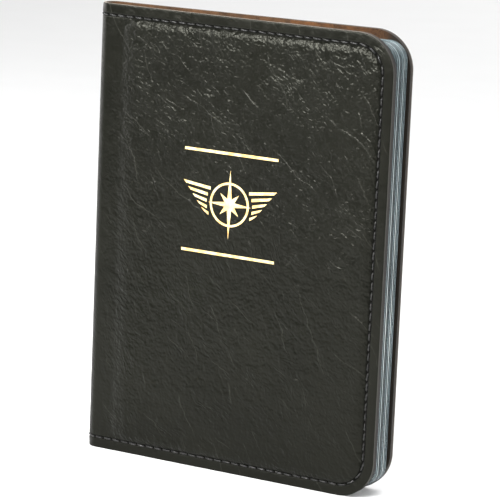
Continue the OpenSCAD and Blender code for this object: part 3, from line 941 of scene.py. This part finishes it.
def stitches():
    """(middle, length) of every stitch along a cover's seam, with half of the spine's."""

    def row(start, count, pitch):
        return [(start + (i + 0.5) * pitch, pitch * STITCH_SHARE) for i in range(count)]

    on_spine = [(MID_SPINE_U + 1.64, 2.6), (-1.52, 2.5)]
    half = on_spine + row(0, ROWS, ROW_PITCH) + row(CORNER_T, BEND_ROWS, BEND_PITCH)
    side = row(CORNER_T + BEND_LEN, EDGE_ROWS, EDGE_PITCH)
    return half + side + [(SEAM_LEN - s, length) for s, length in half[::-1]]


def seam_thread(name, side, level, outwards, material, replaced, slant):
    """One object with all stitches of a seam: short, twisted, sinking into their holes. Each
    stitch is a tube of rings, with its two ends closed."""
    rings, around, plies, turns = 11, 9, 3, 2.2
    ply_depth, overlap, sink = 0.13, 0.12, 0.42
    rng = np.random.default_rng(len(name) * 17 + (side == "front"))
    tau = np.linspace(-1, 1, rings)[:, None]
    theta = np.linspace(0, 2 * math.pi, around, endpoint=False)[None, :]
    lay = 1 + ply_depth * np.cos(plies * (theta - turns * tau))
    taper = np.sqrt(np.clip(1 - tau**6, 0.12, 1))
    points, faces, rest = [], [], []
    for k, (middle, length) in enumerate(stitches()):
        r = THREAD_R * (1 + rng.normal(0, 0.04))
        sway = slant + rng.normal(0, 0.05)
        s = middle + tau * (length / 2 + overlap)
        d = rng.normal(0, 0.03) + sway * tau + r * lay * taper * np.cos(theta)
        sag = sink * np.abs(tau) ** 3.2
        n = level(middle) + outwards * (r * lay * taper * np.sin(theta) - sag)
        u, z = seam_point(s + 0 * theta, d)
        base = k * (rings * around + 2)
        block = cover_place(side)(u, n, z).reshape(-1, 3)
        caps = np.stack([block[:around].mean(0), block[-around:].mean(0)])
        points += [block, caps]
        along = np.stack([s + 0 * theta, d, n + 0 * s], -1).reshape(-1, 3)
        rest += [along, along[[0, -1]]]
        for j in range(rings - 1):
            for i in range(around):
                m = (i + 1) % around
                faces.append([base + j * around + i, base + j * around + m,
                              base + (j + 1) * around + m, base + (j + 1) * around + i])
        first, last = base + rings * around, base + rings * around + 1
        for i in range(around):
            m = (i + 1) % around
            faces.append([first, base + m, base + i])
            faces.append([last, base + (rings - 1) * around + i, base + (rings - 1) * around + m])
    if (side == "rear") != (outwards > 0):
        faces = [f[::-1] for f in faces]
    piece = make_mesh(name, np.concatenate(points), faces, [material], None, np.concatenate(rest), 60)
    bend_with_fold(piece, side)
    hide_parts(*replaced)


def threads(side):
    """The seam's thread on the outside, a little slanted, and on the inside."""
    pressed = 0.05
    slanted, straight = 0.14, 0.0
    inner_depth = GROOVE_D - THREAD_R - pressed

    def outer_level(s):
        return LEATHER_OUT - pressed

    def inner_level(s):
        on_lining = min(s, SEAM_LEN - s) < FLAP_START
        return (LINING_IN if on_lining else FLAP_IN) + inner_depth

    outer, inner = with_spine(side, "stitching"), with_spine(side, "bobbin_stitching")
    seam_thread(
        f"{side}_seam_thread", side, outer_level, 1, BLACK_THREAD, outer, slanted
    )
    seam_thread(
        f"{side}_inner_thread", side, inner_level, -1, BROWN_THREAD, inner, straight
    )


def film_border(u, z, end, margin, r):
    """Distance of (u, z) from a film's three welded edges. The one at the spine doesn't count."""
    beyond_spine = -60
    return rounded_box_distance(u, z, beyond_spine, end, margin, r, r)


def film_rest(end, margin, r):
    """A function from (u, n, z) to a film's texture coordinates."""

    def rest(u, n, z):
        return np.stack([u, z, film_border(u, z, end, margin, r)], -1)

    return rest


def leaf_waves(k, x, z):
    """Slow waves of leaf k, which grow with the distance from the spine."""
    grow = np.clip(x / LEAF_END, 0, 1) ** 2
    own = 0.05 * noise(z / 90 + k, x / 60, 300 + k) + 0.01 * noise(z / 31, x / 30 + k, 320 + k)
    return grow * own


def leaf_edge(k):
    """Some leaves carry much more light to their cut edge than others."""
    return {1: DIM_EDGE, 3: BRIGHT_EDGE, 4: DIM_EDGE, 6: BRIGHT_EDGE}.get(k, PLAIN_EDGE)


def bend_leaf(piece):
    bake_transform(piece)


def leaf_films(k):
    """Leaf k: a base film from the weld, and the pocket film that is welded on it."""
    rim = 0.03
    middle = (k - 4.5) * LEAF_PITCH
    place, films = leaf_place(k), [FILM, leaf_edge(k), FILM]
    rest = film_rest(LEAF_END, LEAF_MARGIN, LEAF_R)
    notch_foot, round_end = COVER_H / 2 - THUMB_R, LEAF_MARGIN + LEAF_R
    zs = height_lines(0.75, (LEAF_MARGIN, round_end, 0.6), (round_end, notch_foot, 2.6))
    far_end = ((LEAF_END - LEAF_R, LEAF_END, 0.6),)

    us = lines((-0.9, 4, 0.35), (4, LEAF_END - LEAF_R, 3.0), *far_end)
    x, z = round_corners(us, zs, LEAF_MARGIN, LEAF_END, LEAF_R)
    gather = 0.62 + 0.38 * smooth((x + 0.6) / 3.0)
    base = middle * gather + leaf_waves(k, x, z) + FILM_OFFSET
    piece = sheet_solid(
        f"leaf_{k}_base", x, z, base + FILM_T / 2, base - FILM_T / 2, place, films, rest,
        rim=rim, coarse=1, flip=True,
    )
    bend_leaf(piece)
    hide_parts(f"leaf_{k}_base_film")

    straight = 32.0
    us = lines((MOUTH_X, straight, 1.6), (straight, LEAF_END - LEAF_R, 3.0), *far_end)
    x, z = round_corners(us, zs, LEAF_MARGIN, LEAF_END, LEAF_R)
    notch = np.sqrt(np.clip(THUMB_R**2 - (z - COVER_H / 2) ** 2, 0, None))
    x = x + notch * np.clip((straight - x) / (straight - MOUTH_X), 0, 1)
    border = film_border(x, z, LEAF_END, LEAF_MARGIN, LEAF_R)
    swell = 0.10 * smooth((border - WELD_W) / 6) * smooth(x / LEAF_END)
    front = middle + leaf_waves(k, x, z) - FILM_OFFSET - swell
    piece = sheet_solid(
        f"leaf_{k}_pocket", x, z, front - FILM_T / 2, front + FILM_T / 2, place, films, rest,
        rim=rim, coarse=1,
    )
    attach(piece, f"leaf_{k}")
    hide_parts(f"leaf_{k}_pocket_film")


def tuck_leaf(side):
    """The insert's plain outer leaf, from the weld into the pocket flap."""
    inset = HEM_W + 0.5
    end = PANEL - inset
    us = lines((-0.4, 2, 0.22), (2, TUCK_START + 2, 0.5), (TUCK_START + 2, end - LEAF_R, 3.0),
               (end - LEAF_R, end, 0.6))
    zs = height_lines(2.6, (inset, inset + LEAF_R, 0.6))
    u, z = round_corners(us, zs, inset, end, LEAF_R)
    level = TUCK_ROOT + (FLAP_OUT + 0.2 - TUCK_ROOT) * smooth((u + 0.2) / TUCK_START)
    place = flat_place(side)
    piece = sheet_solid(
        f"{side}_tuck_film", u, z, level - TUCK_T / 2, level + TUCK_T / 2, place,
        [FILM, DIM_EDGE, FILM], film_rest(end, inset, LEAF_R), rim=0.03, coarse=1, flip=side == "front",
    )
    root, tip = [place(t, TUCK_ROOT, COVER_H / 2).tolist() for t in (-0.5, 1.8)]
    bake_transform(piece)
    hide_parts(f"insert_{side}_tuck_leaf")


def paint_cad(node, material):
    """Gives a CAD node that stays its material."""
    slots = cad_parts[node].data.materials
    slots.clear()
    slots.append(material)


for side in SIDES:
    outer_leather(side)
    lining(side)
    pocket_flap(side)
    foam_pad(side)
    threads(side)
    tuck_leaf(side)
    paint_cad(f"{side}_board", BOARD)
for k in LEAVES:
    leaf_films(k)
for node in ("foil_rule_upper", "foil_rule_lower", "foil_emblem"):
    paint_cad(node, GOLD)
paint_cad("insert_spine_weld", WELDED)


# ---------- studio ----------


def studio_floor():
    """A pale floor, which also fills the view behind the object."""
    made, tree, shader = new_material("studio_floor")
    dust = wave(tree, object_coordinates(tree), 40.0, 3.0)
    colour = mix_colour(tree, dust, (0.90, 0.90, 0.90), (0.93, 0.93, 0.93))
    connect(tree, shader, Base_Color=colour, Roughness=0.6, Specular_IOR_Level=0.2)
    half = 4.0
    corners = half * np.array([(-1, -1, 0), (1, -1, 0), (1, 1, 0), (-1, 1, 0)])
    floor = make_mesh("studio_floor", corners, [[0, 1, 2, 3]], [made])


def soft_light(name, place, target, size, watts):
    """A rectangle of light that the camera itself doesn't see."""
    light = bpy.data.lights.new(name, "AREA")
    light.shape, light.energy = "RECTANGLE", watts
    light.size, light.size_y = size
    lamp = bpy.data.objects.new(name, light)
    bpy.context.scene.collection.objects.link(lamp)
    lamp.location = place
    lamp.visible_camera = False
    lamp.rotation_euler = (Vector(target) - Vector(place)).to_track_quat("-Z", "Y").to_euler()


def studio_world():
    """A soft room: bright behind the object and dimmer in front of it."""
    world = bpy.data.worlds.new("studio")
    bpy.context.scene.world = world
    world.use_nodes = True
    tree = world.node_tree
    way = add(tree, "SeparateXYZ", {0: add(tree, "TexCoord").outputs["Generated"]})
    back = ramp(tree, way.outputs[1], -0.6, 0.5)
    colour = mix_colour(tree, back, (0.03, 0.03, 0.03), (0.52, 0.52, 0.52))
    background = tree.nodes["Background"]
    tree.links.new(colour, background.inputs["Color"])
    background.inputs["Strength"].default_value = 1.1


def studio_camera():
    """From the front cover's right, a little above, with a slight roll."""
    azimuth, elevation, roll = math.radians(25.47), math.radians(11.70), math.radians(2.47)
    distance, aim_right, aim_up = 1.071, 0.00369, -0.00078
    level, height = math.cos(elevation), math.sin(elevation)
    back = Vector((math.sin(azimuth) * level, -math.cos(azimuth) * level, height))
    right = Vector((math.cos(azimuth), math.sin(azimuth), 0))
    up = back.cross(right)
    across = math.cos(roll) * right + math.sin(roll) * up
    upward = -math.sin(roll) * right + math.cos(roll) * up
    aim = Vector((0, 0, COVER_H / 2 * MM)) + aim_right * right + aim_up * up
    data = bpy.data.cameras.new("camera")
    data.lens, data.sensor_width = 216, 36
    data.clip_start, data.clip_end = 0.05, 20
    camera = bpy.data.objects.new("camera", data)
    bpy.context.scene.collection.objects.link(camera)
    turned = Matrix((across, upward, back)).transposed().to_4x4()
    camera.matrix_world = Matrix.Translation(aim + distance * back) @ turned
    bpy.context.scene.camera = camera


studio_floor()
studio_world()
soft_light("ceiling", (0.06, 0.14, 0.60), (0.05, 0.10, 0), (0.45, 0.45), 1.2)
soft_light("strip", (-0.08, -0.41, 0.335), (0, 0, 0.14), (0.50, 0.06), 6.5)
soft_light("right_wall", (0.95, 0.15, 0.40), (0, 0, 0.08), (0.6, 0.6), 6.0)
soft_light("left_wall", (-0.95, -0.02, 0.28), (0, 0, 0.08), (0.9, 0.5), 6.0)
soft_light("back_wash", (0.0, 1.9, 1.6), (0, 1.1, 0), (2.0, 2.0), 30.0)
studio_camera()
bpy.context.scene.view_settings.view_transform = "Standard"
